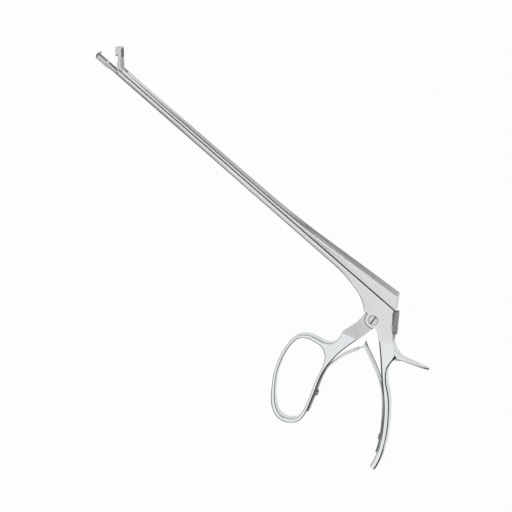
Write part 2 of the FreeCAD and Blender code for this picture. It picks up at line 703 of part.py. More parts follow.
dress(ring, "Fillet", size("ring_round"), lambda edge: is_flat_edge(edge, half_ring, 15.0))

rear = new_body("rear_handle")
rear_sketch = new_sketch(rear, "rear_outline")
strip_path = [satin_front] + STRIP_FRONT
strip_curve = curve_through(strip_path)
strip_back = []
for place in strip_path[3:]:
    thickness = sheet.get("strip_thickness") + sheet.get("strip_swell") * share(place[1], *STRIP_SWELL)
    strip_back.append(at(strip_curve, strip_curve.parameter(point(place)), thickness))
line(rear_sketch, satin_front, satin_back)
spline(rear_sketch, [satin_back] + ROOT_BACK)
line(rear_sketch, ROOT_BACK[-1], ROOT_UNDER[0])
spline(rear_sketch, ROOT_UNDER + strip_back)
end_radius = (sheet.get("strip_thickness") + sheet.get("strip_swell")) / 2 + 0.1
rear_sketch.addGeometry(arc_between(point(strip_path[-1]), point(strip_back[-1]), end_radius, 1))
rear_sketch.addGeometry(strip_curve)
pad(rear, rear_sketch, size("body_width"))
dress(rear, "Fillet", size("strip_round"), lambda edge: is_flat_edge(edge, half_body.value, 25.0))
spur_sketches = []
for number, (across, low, high, width) in enumerate(SPUR):
    station = new_sketch(rear, "spur_station_%d" % number, "YZ_Plane", offset=(0, 0, across))
    box_outline(station, low, -width / 2, high, width / 2)
    spur_sketches.append(station)
spur = rear.newObject("PartDesign::AdditiveLoft", "spur")
spur.Profile = spur_sketches[0]
spur.Sections = spur_sketches[1:]


def leaf(label, curve, ends, free):
    """A leaf spring whose base lies beside its handle, on the right of its curve, and whose tip stands free."""
    body = new_body(label)
    sketch = new_sketch(body, label + "_outline")
    near = beside(curve, ends, -sheet.get("leaf_gap")) + free
    first, last = (curve.parameter(point(end)) for end in ends)
    far = offset_path(near, sheet.get("leaf_thickness") * (-1 if last > first else 1))
    spline(sketch, near)
    line(sketch, near[-1], far[-1])
    spline(sketch, far[::-1])
    line(sketch, far[0], near[0])
    pad(body, sketch, size("leaf_width"))
    return body


rear_leaf = leaf("rear_leaf_spring", strip_curve, REAR_LEAF_ENDS, REAR_LEAF_FREE)
front_leaf = leaf("front_leaf_spring", ring_curve, FRONT_LEAF_ENDS, FRONT_LEAF_FREE)

# The tongue of the front leaf stands in a slot in the tip of the rear leaf
tongue_slot = new_sketch(rear_leaf, "tongue_slot")
box_outline(tongue_slot, 2.0, -19.6, 8.6, -12.0)
pocket(rear_leaf, tongue_slot, size("tongue_width") + size("tongue_play") * 2)
shoulders = new_sketch(front_leaf, "tongue_shoulders", "YZ_Plane")
half_leaf = size("leaf_width") / 2
for side in (1, -1):
    box_outline(shoulders, -21.4, size("tongue_width") / 2 * side, -12.0, (half_leaf + 1) * side)
pocket(front_leaf, shoulders)


def spring_screw(label, curve, place, handle, spring):
    """A round-headed screw through the leaf into its handle; its axis lies in the mid-plane."""
    parameter = curve.parameter(point(place))
    tangent = curve.tangent(parameter)[0]
    angle = math.degrees(math.atan2(tangent.y, tangent.x)) + 180
    foot = at(curve, parameter)
    leaf_top = sheet.get("leaf_thickness") + sheet.get("leaf_gap") * 2
    head_top = leaf_top + sheet.get("leaf_screw_height")
    radius, head = sheet.get("leaf_screw_radius"), sheet.get("leaf_screw_head")
    depth = sheet.get("leaf_screw_depth")
    rim = head_top - 0.5
    body = new_body(label)
    section = new_sketch(body, label + "_section", offset=(foot[0], foot[1], 0), turn=angle)
    chain(section, [(0.0, -depth), (radius, -depth), (radius, leaf_top), (head, leaf_top), (head, rim),
                    (head - 0.7, head_top), (0.0, head_top)])
    revolve(body, section)
    slot = new_sketch(body, label + "_slot", offset=(foot[0], foot[1], 0), turn=angle)
    chain(slot, [(-0.3, rim), (0.3, rim), (0.3, head_top + 1), (-0.3, head_top + 1)])
    pocket(body, slot)
    fit = radius + sheet.get("pin_fit")
    for owner, low, high in ((handle, -depth, 1.0), (spring, -1.0, leaf_top + 0.5)):
        bore = new_sketch(owner, label + "_bore", offset=(foot[0], foot[1], 0), turn=angle)
        chain(bore, [(0.0, low), (fit, low), (fit, high), (0.0, high)])
        revolve(owner, bore, "Groove")


def chain(sketch, corners):
    for start, finish in zip(corners, corners[1:] + corners[:1]):
        line(sketch, start, finish)


spring_screw("rear_spring_screw", strip_curve, REAR_SCREW_PLACE, rear, rear_leaf)
spring_screw("front_spring_screw", ring_curve, FRONT_SCREW_PLACE, ring, front_leaf)

document.recompute()
failed = [item.Name for item in document.Objects if "Invalid" in item.State or "Error" in item.State]
if failed:
    raise RuntimeError("these objects failed: %s" % ", ".join(failed))
os.makedirs("parts", exist_ok=True)
for body in bodies:
    shape = body.Shape
    if shape.isNull() or not shape.isValid() or len(shape.Solids) != 1:
        raise RuntimeError("%s has no single valid solid" % body.Label)
    shape.exportStep("parts/%s.step" % body.Label)
    box = shape.BoundBox
    print("%-20s volume %8.1f  X %7.2f %7.2f  Y %7.2f %7.2f  Z %6.2f %6.2f" % (
        body.Label, shape.Volume, box.XMin, box.XMax, box.YMin, box.YMax, box.ZMin, box.ZMax))
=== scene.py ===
"""Biopsy forceps on a plain pale floor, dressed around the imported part.

Every length is in millimetres until it reaches Blender, which works in metres.
"""

import logging
import math
from dataclasses import dataclass, field, replace
from enum import Enum
from typing import Any, Iterable, Sequence

import bmesh
import bpy
import numpy as np
from mathutils import Matrix, Vector


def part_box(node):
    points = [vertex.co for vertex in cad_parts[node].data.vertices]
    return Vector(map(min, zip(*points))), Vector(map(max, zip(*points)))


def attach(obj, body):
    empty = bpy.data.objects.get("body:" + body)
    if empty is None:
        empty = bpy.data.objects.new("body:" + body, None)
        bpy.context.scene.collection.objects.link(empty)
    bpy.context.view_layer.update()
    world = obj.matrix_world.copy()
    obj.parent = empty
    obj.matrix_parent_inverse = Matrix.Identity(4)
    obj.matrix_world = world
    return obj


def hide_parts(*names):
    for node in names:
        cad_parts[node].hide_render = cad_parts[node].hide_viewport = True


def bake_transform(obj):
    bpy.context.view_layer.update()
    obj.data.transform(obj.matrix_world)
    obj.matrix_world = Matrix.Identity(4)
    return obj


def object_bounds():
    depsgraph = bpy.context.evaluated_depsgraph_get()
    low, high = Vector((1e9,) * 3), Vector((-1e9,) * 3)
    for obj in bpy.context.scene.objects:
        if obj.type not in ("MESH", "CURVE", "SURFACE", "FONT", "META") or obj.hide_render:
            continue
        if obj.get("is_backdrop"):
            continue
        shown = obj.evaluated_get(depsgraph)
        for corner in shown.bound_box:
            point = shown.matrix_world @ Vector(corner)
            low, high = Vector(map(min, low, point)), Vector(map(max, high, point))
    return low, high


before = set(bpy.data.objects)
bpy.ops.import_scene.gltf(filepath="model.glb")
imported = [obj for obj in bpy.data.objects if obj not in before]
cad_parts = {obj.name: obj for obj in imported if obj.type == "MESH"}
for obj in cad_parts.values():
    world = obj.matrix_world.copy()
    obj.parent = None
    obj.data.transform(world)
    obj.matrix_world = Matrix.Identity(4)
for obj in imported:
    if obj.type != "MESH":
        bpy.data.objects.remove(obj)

LOG = logging.getLogger("biopsy_forceps")
MM = 0.001
WELD = 0.001 * MM
ROUND_PROFILE = 0.5
UPWARD = (0.0, 0.0, 1.0)
FLATTEN = (1.0, 1.0, 0.0)
WHITE = (1.0, 1.0, 1.0, 1.0)
FULL = 1.0
QUARTER_DEG = 90.0
SOFT_SEGMENTS = 2

# Numbers of the colour sockets on a Mix node
MIX_SHARE = 0
MIX_FIRST = 6
MIX_SECOND = 7
MIX_COLOUR = 2


class Slot(str, Enum):
    """Material slots named in the record."""

    SATIN = "satin_steel"
    POLISHED = "polished_steel"
    SPRING = "spring_steel"
    SCREW = "screw_steel"
    DARK = "dark_steel"


class Body(str, Enum):
    """The four bodies that move against each other."""

    FRAME = "frame"
    SLIDE = "slide"
    JAW = "jaw"
    HANDLE = "handle"


class Sock:
    """A shader socket that takes part in ordinary arithmetic."""

    def __init__(self, tree: "ShaderTree", socket: Any) -> None:
        """Keep the socket and the tree that it belongs to."""
        self.tree = tree
        self.socket = socket

    def _math(self, operation: str, first: Any, second: Any) -> "Sock":
        """Add one Math node."""
        return self.tree.add("ShaderNodeMath", {"operation": operation}, {0: first, 1: second})

    def __add__(self, other: Any) -> "Sock":
        """Sum."""
        return self._math("ADD", self, other)

    def __mul__(self, other: Any) -> "Sock":
        """Product."""
        return self._math("MULTIPLY", self, other)

    def __sub__(self, other: Any) -> "Sock":
        """Difference."""
        return self._math("SUBTRACT", self, other)

    def most(self, other: Any) -> "Sock":
        """The larger of two values."""
        return self._math("MAXIMUM", self, other)

    def near(self, centre: float, reach: float, fade: float) -> "Sock":
        """One within a reach of a centre, falling to zero over a fade."""
        away = self._math("ABSOLUTE", self - centre, 0.0)
        return away.ramp(reach + fade, reach)

    def ramp(self, low: float, high: float) -> "Sock":
        """Zero at the first value, one at the second, straight between them."""
        return self.tree.add("ShaderNodeMapRange", {"clamp": True}, {0: self, 1: low, 2: high})


class ShaderTree:
    """A shader node tree, built one node at a time."""

    def __init__(self, tree: bpy.types.NodeTree) -> None:
        """Start with an empty tree."""
        self.tree = tree
        self.tree.nodes.clear()

    def add(self, kind: str, settings: dict[str, Any], values: dict[Any, Any], output: Any = 0) -> Sock:
        """Add a node, set it up and link or fill its inputs.

        Args:
            kind: The node's type.
            settings: Its own settings, set first.
            values: Values or sockets for its inputs, by name or number.
            output: The output that the result stands for.

        Returns:
            The chosen output, ready for arithmetic.
        """
        node = self.tree.nodes.new(kind)
        for key, value in settings.items():
            setattr(node, key, value)
        for key, value in values.items():
            if isinstance(value, Sock):
                self.tree.links.new(value.socket, node.inputs[key])
            else:
                node.inputs[key].default_value = value
        return Sock(self, node.outputs[output])

    def seen_or_mirrored(self, seen_share: float, mirrored_share: float) -> Sock:
        """A share for what the camera sees, and another for what steel mirrors.

        Args:
            seen_share: Share for rays from the camera.
            mirrored_share: Share for rays from a mirroring surface.

        Returns:
            The larger of the two.
        """
        seen = self.add("ShaderNodeLightPath", {}, {}, "Is Camera Ray")
        mirrored = self.add("ShaderNodeLightPath", {}, {}, "Is Glossy Ray")
        return (seen * seen_share).most(mirrored * mirrored_share)

    def end(self, kind: str, surface: Sock) -> None:
        """Link a surface to the tree's output node."""
        sink = self.tree.nodes.new(kind)
        self.tree.links.new(surface.socket, sink.inputs["Surface"])


class Shader(ShaderTree):
    """A material's node tree."""

    def __init__(self, name: str) -> None:
        """Start an empty material.

        Args:
            name: The material's name.
        """
        self.material = bpy.data.materials.new(name)
        self.material.use_nodes = True
        super().__init__(self.material.node_tree)

    def place(self) -> Sock:
        """Coordinates fixed to the object."""
        return self.add("ShaderNodeTexCoord", {}, {}, "Object")

    def along(self, direction: Sequence[float]) -> Sock:
        """Distance in metres from the origin along a direction."""
        values = {0: self.place(), 1: direction}
        return self.add("ShaderNodeVectorMath", {"operation": "DOT_PRODUCT"}, values, "Value")

    def across(self, turn_deg: float) -> Sock:
        """Distance in metres from a line through the origin that is turned about Z."""
        turn = math.radians(turn_deg)
        return self.along((-math.sin(turn), math.cos(turn), 0.0))

    def from_axis(self) -> Sock:
        """Distance in metres from the Z axis."""
        flat = self.add("ShaderNodeVectorMath", {"operation": "MULTIPLY"}, {0: self.place(), 1: FLATTEN})
        return self.add("ShaderNodeVectorMath", {"operation": "LENGTH"}, {0: flat}, "Value")

    def stretched(self, scale: Sequence[float]) -> Sock:
        """Object coordinates scaled along each axis."""
        return self.add("ShaderNodeMapping", {}, {"Vector": self.place(), "Scale": scale})

    def noise(self, vector: Sock, scale: float, detail: float) -> Sock:
        """A noise value around one half."""
        values = {"Vector": vector, "Scale": scale, "Detail": detail}
        return self.add("ShaderNodeTexNoise", {}, values, "Fac")

    def bump(self, height: Sock, depth: float, strength: float) -> Sock:
        """A normal bent by a height."""
        values = {"Height": height, "Distance": depth, "Strength": strength}
        return self.add("ShaderNodeBump", {}, values, "Normal")

    def blend_colour(self, factor: Any, first: Any, second: Any) -> Sock:
        """Mix two colours, each a socket or three numbers.

        Args:
            factor: The share of the second colour.
            first: The first colour.
            second: The second colour.

        Returns:
            The mixed colour.
        """
        inks = [ink if isinstance(ink, Sock) else (*ink, FULL) for ink in (first, second)]
        values = {MIX_SHARE: factor, MIX_FIRST: inks[0], MIX_SECOND: inks[1]}
        return self.add("ShaderNodeMix", {"data_type": "RGBA"}, values, MIX_COLOUR)

    def metal(
            self, colour: Any, roughness: Any, normal: Sock | None,
            metallic: float) -> bpy.types.Material:
        """Close the tree with one metal surface.

        Args:
            colour: Base colour.
            roughness: Roughness value or socket.
            normal: A bent normal, where there is one.
            metallic: How metallic the surface is.

        Returns:
            The finished material.
        """
        values = {"Base Color": colour, "Roughness": roughness, "Metallic": metallic}
        if normal is not None:
            values["Normal"] = normal
        return self.close(self.add("ShaderNodeBsdfPrincipled", {}, values))

    def close(self, surface: Sock) -> bpy.types.Material:
        """Link a surface to the material's output and return the material."""
        self.end("ShaderNodeOutputMaterial", surface)
        return self.material


@dataclass(frozen=True)
class Shade:
    """A soft dark band painted into a finish: painted shade, such as the shadow in a seam or a screw slot,
    and painted dark reflections along rounded edges.

    The band lies along a line turned about Z, at an offset across that line.
    """

    turn_deg: float
    offset: float
    reach: float
    fade: float
    strength: float
    span: tuple[float, float] | None = None
    span_fade: float = 3.0

    def mask(self, shader: Shader) -> Sock:
        """The strength in the band and zero away from it.

        Args:
            shader: The material that the band is drawn in.

        Returns:
            The band's share of the shade colour.
        """
        band = shader.across(self.turn_deg).near(self.offset * MM, self.reach * MM, self.fade * MM)
        if self.span is None:
            return band * self.strength
        start, end = self.span
        along = shader.across(self.turn_deg - QUARTER_DEG)
        ends = along.near((start + end) / 2 * MM, (end - start) / 2 * MM, self.span_fade * MM)
        return band * ends * self.strength


@dataclass(frozen=True)
class RingShade:
    """A soft dark ring of painted shade about the Z axis."""

    radius: float
    reach: float
    fade: float
    strength: float

    def mask(self, shader: Shader) -> Sock:
        """The strength on the ring and zero away from it."""
        return shader.from_axis().near(self.radius * MM, self.reach * MM, self.fade * MM) * self.strength


@dataclass(frozen=True)
class HeightShade:
    """A soft dark line of painted shade at one height above the plate's lower face."""

    height: float
    reach: float
    fade: float
    strength: float

    def mask(self, shader: Shader) -> Sock:
        """The strength at that height and zero away from it."""
        return shader.along(UPWARD).near(self.height * MM, self.reach * MM, self.fade * MM) * self.strength


@dataclass(frozen=True)
class SteelFinish:
    """A steel surface with grain, faint cloudiness, and painted shade lines and bands that stand for the
    shade and dark reflections its shape leaves in it.
    """

    slot: Slot
    dark: tuple[float, float, float]
    light: tuple[float, float, float]
    roughness: float
    roughness_spread: float
    grain_scale: float
    grain_stretch: tuple[float, float, float] = (1.0, 1.0, 1.0)
    grain_detail: float = 2.0
    grain_depth: float = 0.0
    grain_strength: float = 0.6
    cloud_scale: float = 60.0
    cloud_detail: float = 3.0
    metallic: float = 1.0
    shades: tuple[Shade | RingShade | HeightShade, ...] = ()
    shade_colour: tuple[float, float, float] = (0.03, 0.03, 0.032)

    def material(self) -> bpy.types.Material:
        """Build the material.

        Returns:
            A procedural steel material.
        """
        shader = Shader(self.slot.value)
        clouds = shader.noise(shader.place(), self.cloud_scale, self.cloud_detail)
        grain = shader.noise(shader.stretched(self.grain_stretch), self.grain_scale, self.grain_detail)
        colour = shader.blend_colour(clouds, self.dark, self.light)
        # Mix the painted shade and painted dark reflections into the colour
        for shade in self.shades:
            colour = shader.blend_colour(shade.mask(shader), colour, self.shade_colour)
        roughness = grain * self.roughness_spread + (self.roughness - self.roughness_spread / 2)
        normal = None
        if self.grain_depth:
            normal = shader.bump(grain, self.grain_depth * MM, self.grain_strength)
        return shader.metal(colour, roughness, normal, self.metallic)


# Painted shadow and painted dark-reflection lines and bands, each named for the place where it lies
# Painted shadow in the seam between slide and lower shaft, wider and darker towards the body
SEAM = Shade(turn_deg=0.0, offset=13.75, reach=0.16, fade=0.22, strength=0.6)
OPEN_SEAM = replace(SEAM, reach=0.28, fade=0.25, strength=0.75, span=(-40.0, 20.0), span_fade=30.0)
# Painted shade along the lower edge of the shaft, with a second band near the tip
SHAFT_UNDERSIDE = Shade(
    turn_deg=0.0, offset=9.0, reach=1.7, fade=1.3, strength=0.5, span=(-212.0, -38.0), span_fade=12.0)
TIP_UNDERSIDE = Shade(
    turn_deg=0.0, offset=10.0, reach=1.8, fade=0.8, strength=0.42, span=(-216.0, -165.0), span_fade=50.0)
# Painted shadow along the body's back edge, where the lever plate stands out
BODY_BACK = Shade(
    turn_deg=-49.3, offset=12.5, reach=0.6, fade=0.3, strength=0.6, span=(-4.5, 15.0), span_fade=1.5)
# Painted shade on the slide's upper wall and rounded top edge, in its rising and straight parts
RISING_TOP = Shade(
    turn_deg=4.49, offset=23.75, reach=2.0, fade=0.12, strength=0.62, span=(-66.0, 10.0), span_fade=16.0)
STRAIGHT_TOP = Shade(
    turn_deg=0.0, offset=16.9, reach=1.3, fade=0.5, strength=0.3, span=(-160.0, -85.0), span_fade=30.0)
# Darker rear plate of the lever behind the body: partly its duller finish, partly painted shade of the
# recess
LEVER_PLATE = Shade(turn_deg=-45.0, offset=20.0, reach=8.5, fade=0.5, strength=0.6)
# Painted shadow ring on the lever just outside the round end of the cheeks
KNUCKLE = RingShade(radius=5.1, reach=0.15, fade=0.3, strength=0.6)
# Painted dark reflection on the back face of the punch's head
PUNCH_HEAD_REFLECTION = Shade(
    turn_deg=130.0, offset=152.3, reach=0.35, fade=0.2, strength=0.97, span=(155.5, 160.6), span_fade=0.4)
# Painted shade on the lower part of the punch's back face
PUNCH_BACK = Shade(turn_deg=130.0, offset=152.3, reach=0.8, fade=0.6, strength=0.4, span=(145.0, 153.6))
# Painted dark reflection along the lower edge of the rear handle's spur
SPUR_UNDERSIDE = Shade(
    turn_deg=22.9, offset=-18.9, reach=0.25, fade=0.35, strength=0.75, span=(19.0, 42.0), span_fade=2.0)
# Painted shade on the leaves towards their feet, where they lie along the handles
LEAF_FEET = Shade(turn_deg=0.0, offset=-70.0, reach=24.0, fade=14.0, strength=0.76)
# Painted shade line along the lower edge of each leaf's wall
LEAF_LINE = HeightShade(height=1.0, reach=1.4, fade=0.6, strength=0.9)
# Painted shadow in the driver slot of the pivot screw
DRIVER_SLOT = Shade(turn_deg=-86.0, offset=0.0, reach=0.38, fade=0.14, strength=0.85)
# Painted shade round the rim of the pivot screw's head
HEAD_RIM = RingShade(radius=2.95, reach=0.2, fade=0.3, strength=0.55)

# Finishes: one for each material slot, and those of single pieces
SATIN = SteelFinish(
    slot=Slot.SATIN, dark=(0.75, 0.745, 0.75), light=(0.83, 0.825, 0.83), roughness=0.36,
    roughness_spread=0.10, grain_scale=5200.0, grain_depth=0.012,
    shades=(SEAM, OPEN_SEAM, SHAFT_UNDERSIDE, TIP_UNDERSIDE, BODY_BACK))
SLIDE = replace(
    SATIN, dark=(0.79, 0.785, 0.79), light=(0.87, 0.865, 0.87), roughness=0.44,
    shades=(SEAM, OPEN_SEAM, RISING_TOP, STRAIGHT_TOP))
LEVER = replace(SATIN, dark=(0.64, 0.64, 0.64), light=(0.71, 0.71, 0.71), shades=(LEVER_PLATE, KNUCKLE))
JAW = replace(
    SATIN, dark=(0.46, 0.46, 0.455), light=(0.72, 0.72, 0.71), roughness=0.30, cloud_scale=420.0,
    shades=(PUNCH_HEAD_REFLECTION, PUNCH_BACK))
POLISHED = SteelFinish(
    slot=Slot.POLISHED, dark=(0.72, 0.75, 0.758), light=(0.79, 0.82, 0.828), roughness=0.06,
    roughness_spread=0.03, grain_scale=900.0)
# The rear handle's painted spur reflection is a bluish dark
REAR = replace(POLISHED, shades=(SPUR_UNDERSIDE,), shade_colour=(0.05, 0.06, 0.08))
SPRING = SteelFinish(
    slot=Slot.SPRING, dark=(0.61, 0.635, 0.64), light=(0.70, 0.725, 0.73), roughness=0.16,
    roughness_spread=0.06, grain_scale=1400.0, grain_stretch=(0.2, 0.2, 3.0), grain_depth=0.004,
    shades=(LEAF_FEET, LEAF_LINE))
SCREW = SteelFinish(
    slot=Slot.SCREW, dark=(0.34, 0.34, 0.345), light=(0.44, 0.44, 0.445), roughness=0.26,
    roughness_spread=0.10, grain_scale=2600.0, grain_depth=0.005)
PIVOT = replace(
    SCREW, dark=(0.60, 0.60, 0.605), light=(0.70, 0.70, 0.705), roughness=0.20, roughness_spread=0.08,
    shades=(DRIVER_SLOT, HEAD_RIM))
DARK = SteelFinish(
    slot=Slot.DARK, dark=(0.16, 0.16, 0.165), light=(0.24, 0.24, 0.245), roughness=0.40,
    roughness_spread=0.10, grain_scale=2600.0)


class Workshop:
    """Helpers that turn meshes into finished pieces."""

    def __init__(self) -> None:
        """Note the usual finish of each slot; a material is built when it is first needed."""
        self.usual = {finish.slot: finish for finish in (SATIN, POLISHED, SPRING, SCREW, DARK)}
        self.materials: dict[SteelFinish, bpy.types.Material] = {}

    def paint(self, slot: Slot, special: SteelFinish | None = None) -> bpy.types.Material:
        """The material of a slot, or of a piece's own finish.

        Args:
            slot: The material slot.
            special: The piece's own finish, where it has one.

        Returns:
            The material, built once.
        """
        finish = special or self.usual[slot]
        if finish not in self.materials:
            self.materials[finish] = finish.material()
        return self.materials[finish]

    def object_from(self, name: str, mesh: bpy.types.Mesh) -> bpy.types.Object:
        """Put a mesh into the scene at the origin.

        Args:
            name: The object's name.
            mesh: Its mesh.

        Returns:
            The new object.
        """
        made = bpy.data.objects.new(name, mesh)
        bpy.context.scene.collection.objects.link(made)
        return made

    def dress(
            self, made: bpy.types.Object, slot: Slot, nodes: Iterable[str],
            special: SteelFinish | None = None) -> None:
        """Give a piece its finish and hide the solids that it stands for.

        Args:
            made: The piece.
            slot: Its material slot.
            nodes: Names of the solids that it replaces.
            special: A finish of its own, where it has one.
        """
        made.data.materials.clear()
        made.data.materials.append(self.paint(slot, special))
        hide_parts(*nodes)
        LOG.info("%s: %d faces of %s", made.name, len(made.data.polygons), slot.value)


@dataclass(frozen=True)
class Crown:
    """Rounding of the two top edges of a bar, which changes along its length.

    Each station is a place along X with the rounding across and down there.
    """

    above: float
    stations: tuple[tuple[float, float, float], ...]
    middle: float = 4.0
    clear: float = 1.5
    lengthwise: float = 0.9
    segments: int = 6
    width: float = 0.5
    steep_deg: float = 60.0

    def edges(self, work: bmesh.types.BMesh) -> list[bmesh.types.BMEdge]:
        """Find the sharp edges that run along the top of the bar.

        Args:
            work: The mesh of the bar.

        Returns:
            The edges to round.
        """
        found = []
        for edge in work.edges:
            first, last = (vert.co / MM for vert in edge.verts)
            high = min(first.y, last.y) > self.above
            outside = min(abs(first.z - self.middle), abs(last.z - self.middle)) > self.clear
            along = abs(first.x - last.x) > self.lengthwise * (first - last).length
            if high and outside and along and edge.calc_face_angle(0.0) > math.radians(self.steep_deg):
                found.append(edge)
        return found

    def chain(self, edges: Iterable[bmesh.types.BMEdge], side: int) -> np.ndarray:
        """List the corners of the edges on one side of the bar, from front to rear.

        Args:
            edges: The edges to round.
            side: One for the upper side along Z, minus one for the lower.

        Returns:
            A row of X, Y and Z for each corner.
        """
        corners = {
            vert for edge in edges for vert in edge.verts
            if (vert.co.z / MM - self.middle) * side > 0}
        return np.array(sorted(tuple(vert.co / MM) for vert in corners))

    def cut(self, work: bmesh.types.BMesh) -> None:
        """Bevel the edges, then open the bevel to its width at each place.

        Args:
            work: The mesh of the bar.
        """
        for place, _, _ in self.stations[1:-1]:
            whole = [*work.verts, *work.edges, *work.faces]
            bmesh.ops.bisect_plane(
                work, geom=whole, dist=WELD, plane_co=(place * MM, 0.0, 0.0), plane_no=(1.0, 0.0, 0.0))
        edges = self.edges(work)
        chains = {side: self.chain(edges, side) for side in (1, -1)}
        made = bmesh.ops.bevel(
            work, geom=edges, offset=self.width * MM, offset_type="OFFSET", segments=self.segments,
            profile=ROUND_PROFILE, affect="EDGES", clamp_overlap=False)
        places, across, down = zip(*self.stations)
        for vert in made["verts"]:
            x, y, z = vert.co / MM
            corner_x, corner_y, corner_z = chains[1 if z > self.middle else -1].T
            edge_y = np.interp(x, corner_x, corner_y)
            edge_z = np.interp(x, corner_x, corner_z)
            lower = np.interp(x, places, down) / self.width
            wider = np.interp(x, places, across) / self.width
            vert.co.y = float(edge_y + (y - edge_y) * lower) * MM
            vert.co.z = float(edge_z + (z - edge_z) * wider) * MM


@dataclass(frozen=True)
class Rounding:
    """Rounding of every sharp edge that lies beyond a place along X."""

    beyond: float
    width: float
    segments: int = 4
    steep_deg: float = 45.0

    def cut(self, work: bmesh.types.BMesh) -> None:
        """Bevel the edges.

        Args:
            work: The mesh of the piece.
        """
        edges = [
            edge for edge in work.edges
            if min(vert.co.x for vert in edge.verts) > self.beyond * MM
            and edge.calc_face_angle(0.0) > math.radians(self.steep_deg)]
        bmesh.ops.bevel(
            work, geom=edges, offset=self.width * MM, offset_type="OFFSET", segments=self.segments,
            profile=ROUND_PROFILE, affect="EDGES", clamp_overlap=True)


@dataclass
class Milled:
    """A piece that keeps the shape of its solid and gets soft edges.

    The loose triangles of the solid are joined into whole faces first.
    """

    node: str
    body: Body
    slot: Slot
    edge: float
    crease_deg: float = 30.0
    flat_deg: float = 0.6
    special: SteelFinish | None = None
    cutter: Crown | Rounding | None = None

    def mesh(self) -> bpy.types.Mesh:
        """Join the solid's triangles into whole faces.

        Returns:
            A new mesh with merged corners.
        """
        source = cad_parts[self.node].data.copy()
        source.name = self.node + "_dressed"
        work = bmesh.new()
        work.from_mesh(source)
        bmesh.ops.remove_doubles(work, verts=work.verts, dist=WELD)
        bmesh.ops.dissolve_limit(
            work, angle_limit=math.radians(self.flat_deg), verts=work.verts, edges=work.edges)
        if self.cutter:
            self.cutter.cut(work)
        for face in work.faces:
            face.smooth = True
        crease = math.radians(self.crease_deg)
        for edge in work.edges:
            edge.smooth = not (edge.is_manifold and edge.calc_face_angle(0.0) > crease)
        work.to_mesh(source)
        work.free()
        return source

    def shape(self, shop: Workshop) -> bpy.types.Object:
        """Make the piece with its soft edges, without finish or body.

        Args:
            shop: The helpers that place it.

        Returns:
            The bare piece.
        """
        made = shop.object_from(self.node + "_steel", self.mesh())
        if self.edge:
            soften(made, self.edge, self.crease_deg)
        return made

    def build(self, shop: Workshop) -> None:
        """Make the piece, let it ride on its body and dress it.

        Args:
            shop: The helpers that finish it.
        """
        made = self.shape(shop)
        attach(made, self.body.value)
        shop.dress(made, self.slot, [self.node], self.special)


def soften(made: bpy.types.Object, width: float, angle_deg: float) -> None:
    """Bevel the sharp edges of a piece.

    Args:
        made: The piece.
        width: Bevel width in millimetres.
        angle_deg: Edges sharper than this are bevelled.
    """
    bevel = made.modifiers.new("soft_edges", "BEVEL")
    bevel.width = width * MM
    bevel.segments = SOFT_SEGMENTS
    bevel.limit_method = "ANGLE"
    bevel.angle_limit = math.radians(angle_deg)
    bevel.harden_normals = True
    bevel.use_clamp_overlap = True


@dataclass
class SatinBody:
    """Lower shaft, fixed jaw and slotted body."""

    edge: float = 0.22

    def build(self, shop: Workshop) -> None:
        """Dress the lower shaft."""
        Milled("fixed_frame", Body.FRAME, Slot.SATIN, self.edge).build(shop)


@dataclass
class SlideAndJaw:
    """The upper half of the shaft and the punch that it drives."""

    slide_edge: float = 0.18
    jaw_edge: float = 0.10
    crown: Crown = Crown(above=15.0, stations=(
        (-213.0, 0.25, 0.25), (-206.0, 0.35, 0.35), (-198.0, 0.9, 0.9), (-185.0, 1.6, 1.4),
        (-140.0, 2.2, 1.5), (-95.0, 2.4, 1.5), (-60.0, 1.8, 1.3), (-30.0, 0.9, 0.9), (0.0, 0.6, 0.6)))

    def build(self, shop: Workshop) -> None:
        """Dress the slide and the moving jaw.

        Args:
            shop: The helpers that finish them.
        """
        slide = Milled("slide_bar", Body.SLIDE, Slot.SATIN, self.slide_edge, special=SLIDE)
        replace(slide, cutter=self.crown).build(shop)
        Milled("moving_jaw", Body.JAW, Slot.SATIN, self.jaw_edge, special=JAW).build(shop)


@dataclass
class Handles:
    """Front lever with its finger ring, and the rear handle with its spur."""

    lever_edge: float = 0.22
    ring_edge: float = 0.0
    rear_edge: float = 0.15
    crease_deg: float = 50.0
    spur: Rounding = Rounding(beyond=28.5, width=0.9)

    def build(self, shop: Workshop) -> None:
        """Dress both handles.

        Args:
            shop: The helpers that finish them.
        """
        Milled("front_lever", Body.HANDLE, Slot.SATIN, self.lever_edge, special=LEVER).build(shop)
        Milled("ring_handle", Body.HANDLE, Slot.POLISHED, self.ring_edge, self.crease_deg).build(shop)
        rear = Milled("rear_handle", Body.FRAME, Slot.POLISHED, self.rear_edge, self.crease_deg)
        replace(rear, special=REAR, cutter=self.spur).build(shop)


@dataclass
class LeafSprings:
    """The pair of leaf springs and their screws."""

    edge: float = 0.22
    bend_start: tuple[float, float, float] = (0.6, -40.0, 4.0)
    bend_end: tuple[float, float, float] = (6.0, -18.0, 4.0)

    def build(self, shop: Workshop) -> None:
        """Dress both leaves and their screws; the front leaf's placement is baked into its mesh.

        Args:
            shop: The helpers that finish them.
        """
        Milled("rear_leaf_spring", Body.FRAME, Slot.SPRING, self.edge).build(shop)
        Milled("rear_spring_screw", Body.FRAME, Slot.SCREW, self.edge).build(shop)
        Milled("front_spring_screw", Body.HANDLE, Slot.SCREW, self.edge).build(shop)
        front = Milled("front_leaf_spring", Body.HANDLE, Slot.SPRING, self.edge)
        made = front.shape(shop)
        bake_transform(made)
        shop.dress(made, front.slot, [front.node])


